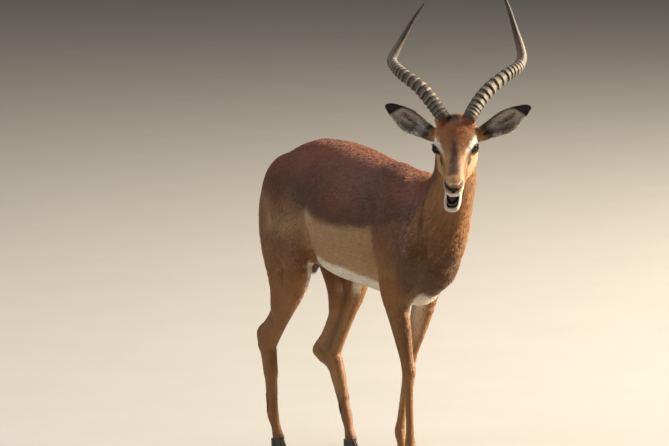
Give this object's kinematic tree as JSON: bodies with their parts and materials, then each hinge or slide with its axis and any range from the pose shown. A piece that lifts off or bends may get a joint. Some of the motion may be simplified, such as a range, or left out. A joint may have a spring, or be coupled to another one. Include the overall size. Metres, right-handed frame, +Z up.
{
  "type": "impala antelope",
  "caption": "Standing impala ram with ringed lyre-shaped horns, head turned towards its right front and mouth a little open.",
  "frame": {"origin": "centre of the bounding box's base, on the ground between the hooves", "axes": "+X towards the animal's left, -Y towards its front along the trunk, +Z up"},
  "size_m": [0.3991, 1.1832, 1.4239],
  "materials": {
    "coat": "matte",
    "horn": "satin",
    "hoof": "satin",
    "eye": "gloss",
    "tongue": "satin",
    "tooth": "gloss"
  },
  "bodies": {
    "root": {"head": "coat", "neck": "coat", "trunk": "coat", "tail": "coat", "foreleg_right": "coat", "foreleg_left": "coat", "hindleg_right": "coat", "hindleg_left": "coat", "ear_right": "coat", "ear_left": "coat", "horn_right": "horn", "horn_left": "horn", "eye_right": "eye", "eye_left": "eye", "hoof_fore_right_outer": "hoof", "hoof_fore_right_inner": "hoof", "hoof_fore_left_outer": "hoof", "hoof_fore_left_inner": "hoof", "hoof_hind_right_outer": "hoof", "hoof_hind_right_inner": "hoof", "hoof_hind_left_outer": "hoof", "hoof_hind_left_inner": "hoof", "tongue": "tongue", "teeth_lower": "tooth"}
  },
  "joints": []
}
